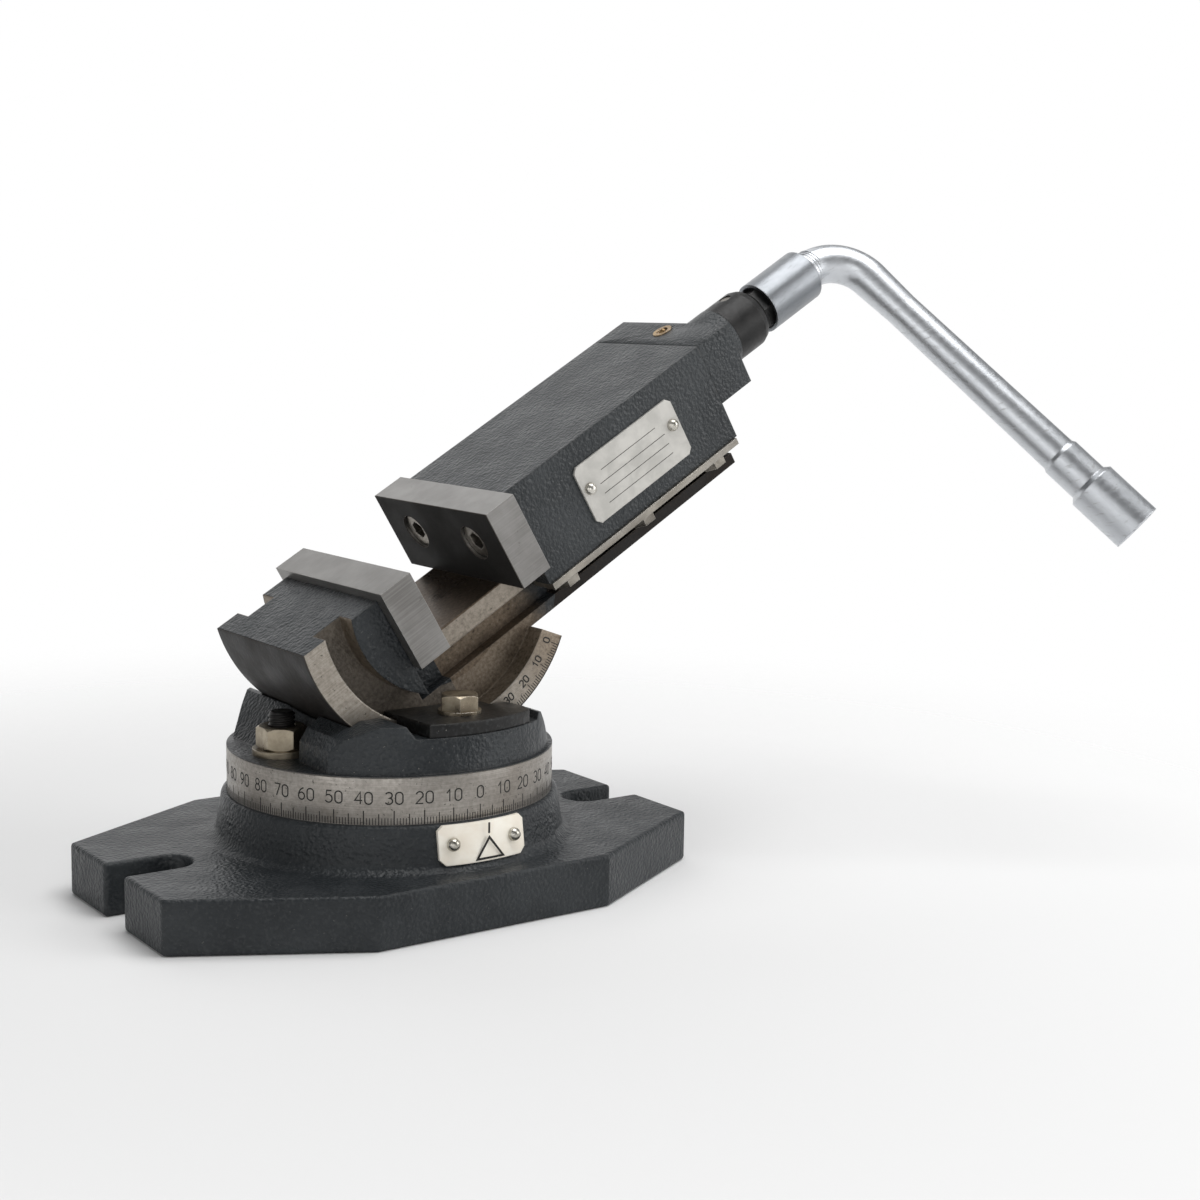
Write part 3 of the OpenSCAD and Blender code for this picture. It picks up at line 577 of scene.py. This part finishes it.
def stud(bm, cx):
    around, step = 40, PITCH / 8
    rows = []
    levels = int(round((STUD_Z1 - STUD_Z0) / step))
    for k in range(levels + 1):
        z = STUD_Z0 + (STUD_Z1 - STUD_Z0) * k / levels
        cap = min(STUD_R, ROOT_R - 0.25 + (STUD_Z1 - z) * 1.1)
        row = []
        for i in range(around):
            a = 2 * math.pi * i / around
            phase = (z / PITCH - i / around) % 1.0
            tooth = min(1.0, 2.3 * abs(phase - 0.5))
            r = min(cap, ROOT_R + (STUD_R - ROOT_R) * tooth)
            row.append(bm.verts.new(Vector((cx + r * math.cos(a), r * math.sin(a), z)) * MM))
        rows.append(row)
    for lower, upper in zip(rows, rows[1:]):
        for i in range(around):
            j = (i + 1) % around
            bm.faces.new((lower[i], lower[j], upper[j], upper[i]))
    bm.faces.new(rows[0][::-1])
    bm.faces.new(rows[-1])


bm = bmesh.new()
stud(bm, -STUD_PLACE)
stud(bm, STUD_PLACE)
studs = piece("stud_threads", bm, "black", "turntable")
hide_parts("swivel_studs")


# ---------------------------------------------------------------- rounding of the castings


def rounded(node, width, segments=2):
    """Real rounded edges on a CAD node: facets of one plane are joined first, so the rounding has room."""
    obj = NODES[node]
    weld = obj.modifiers.new("weld", "WELD")
    weld.merge_threshold = 0.000002
    planes = obj.modifiers.new("planes", "DECIMATE")
    planes.decimate_type = "DISSOLVE"
    planes.angle_limit = math.radians(0.3)
    bevel = obj.modifiers.new("rounding", "BEVEL")
    bevel.width = width * MM
    bevel.segments = segments
    bevel.limit_method = "ANGLE"
    bevel.angle_limit = math.radians(35)
    bevel.use_clamp_overlap = True


def hoops(name, places, radius, thick, key, body):
    """Thin raised hoops round the spindle axis, at these places along the vise."""
    bm = bmesh.new()
    around, section = 48, 6
    for place in places:
        grid = []
        for i in range(around):
            a = 2 * math.pi * i / around
            row = []
            for k in range(section):
                b = 2 * math.pi * k / section
                r = radius + thick * math.cos(b)
                spot = vise(place + thick * math.sin(b), r * math.cos(a), SCREW_Z + r * math.sin(a))
                row.append(bm.verts.new(spot))
            grid.append(row)
        for i in range(around):
            here, after = grid[i], grid[(i + 1) % around]
            for k in range(section):
                j = (k + 1) % section
                bm.faces.new((here[k], after[k], after[j], here[j]))
    return piece(name, bm, key, body, smooth=True)


hoops("wrench_rings", (149.9, 150.7, 151.5), 4.95, 0.17, "chrome", "wrench_body")


# ---------------------------------------------------------------- camera, light, floor

scene = bpy.context.scene
scene.view_settings.view_transform = "Standard"

# Where the camera stands (m), and how it is turned: yaw from +y towards +x, pitch and roll (degrees).
CAMERA_PLACE = (-0.21503, -0.37896, 0.13002)
CAMERA_TURN = (35.90, -8.37, 1.03)

cam_data = bpy.data.cameras.new("camera")
cam_data.lens = 57.17
cam_data.sensor_width = 36.0
cam_data.clip_start = 0.01
camera = bpy.data.objects.new("camera", cam_data)
scene.collection.objects.link(camera)
scene.camera = camera
yaw, pitch, roll = map(math.radians, CAMERA_TURN)
ahead = Vector((math.sin(yaw) * math.cos(pitch), math.cos(yaw) * math.cos(pitch), math.sin(pitch)))
level = ahead.cross(Vector((0, 0, 1))).normalized()
upright = level.cross(ahead)
right = level * math.cos(roll) + upright * math.sin(roll)
up = -level * math.sin(roll) + upright * math.cos(roll)
camera.matrix_world = Matrix.Translation(CAMERA_PLACE) @ Matrix((right, up, -ahead)).transposed().to_4x4()


def area_light(name, place, target, size, power, size_y=None):
    data = bpy.data.lights.new(name, "AREA")
    data.energy = power
    data.shape = "RECTANGLE"
    data.size = size
    data.size_y = size_y or size
    obj = bpy.data.objects.new(name, data)
    scene.collection.objects.link(obj)
    obj.location = place
    obj.rotation_euler = (Vector(target) - Vector(place)).to_track_quat("-Z", "Y").to_euler()


# name, place, target, size, power, height where it isn't square
LIGHTS = (
    ("key_top", (0.15, -0.10, 0.80), (0.02, 0, 0.05), 0.6, 4.4),
    ("left_low", (-0.85, -0.38, 0.16), (0, 0, 0.03), 0.5, 0.6, 0.22),
    ("left_soft", (-0.75, -0.30, 0.45), (0, 0, 0.08), 0.4, 0.35, 0.6),
    ("front_soft", (0.75, -0.62, 0.45), (0, 0, 0.08), 0.6, 3.8, 0.6),
    ("front_low", (-0.44, -0.80, 0.22), (0, 0, 0.05), 0.35, 0.7, 0.16),
    ("back_soft", (0.20, 0.75, 0.62), (0, 0, 0.1), 0.8, 1.8),
)
for row in LIGHTS:
    area_light(*row)

world = bpy.data.worlds.new("studio")
world.use_nodes = True
tree = world.node_tree


def world_node(kind, inputs, **props):
    node = tree.nodes.new("ShaderNode" + kind)
    for key, value in props.items():
        setattr(node, key, value)
    for key, value in inputs.items():
        if isinstance(value, bpy.types.NodeSocket):
            tree.links.new(value, node.inputs[key])
        else:
            node.inputs[key].default_value = value
    return node.outputs


def world_ramp(value, start, end, first, last, **props):
    inputs = {"Value": value, "From Min": start, "From Max": end, "To Min": first, "To Max": last}
    return world_node("MapRange", inputs, **props)["Result"]


# The studio round the stage: white up to just above the horizon, dim overhead, and dimmer behind the camera's side.
direction = world_node("TexCoord", {})["Generated"]
height = world_node("SeparateXYZ", {0: direction})["Z"]
toward = world_node("VectorMath", {0: direction, 1: (0.586, 0.810, 0.0)}, operation="DOT_PRODUCT")["Value"]
overhead = world_ramp(height, 0.16, 0.30, 1.0, 0.30, interpolation_type="SMOOTHSTEP")
sideways = world_ramp(toward, 0.2, 0.8, 0.45, 1.0)
below = world_ramp(height, -0.10, 0.02, 1.0, 0.0)
brighter = world_node("Math", {0: below, 1: sideways}, operation="MAXIMUM")[0]
strength = world_node("Math", {0: overhead, 1: brighter}, operation="MULTIPLY")[0]
back = tree.nodes["Background"]
back.inputs["Color"].default_value = (1, 1, 1, 1)
tree.links.new(strength, back.inputs["Strength"])
scene.world = world

bm = bmesh.new()
bmesh.ops.create_circle(bm, cap_ends=True, segments=96, radius=1.2)
floor_mesh = bpy.data.meshes.new("floor")
bm.to_mesh(floor_mesh)
bm.free()
floor = bpy.data.objects.new("floor", floor_mesh)
scene.collection.objects.link(floor)
m = Mat("floor")
floor_x, floor_y, _ = m.xyz(m.coord)
shade = m.span(radial(m, floor_x, floor_y), 0.10, 0.34)
mixer = m.add("MixShader", {0: shade, 1: m.add("BsdfDiffuse", {"Color": (0.88, 0.88, 0.88)}).outputs[0],
                            2: m.add("BsdfTransparent").outputs[0]})
m.put(m.out.inputs["Surface"], mixer.outputs[0])
floor_mesh.materials.append(m.mat)

rounded("base_plate", 0.9, 3)
for node in ("turntable", "sliding_block", "end_bracket", "clamp_front", "clamp_back"):
    rounded(node, 0.5)
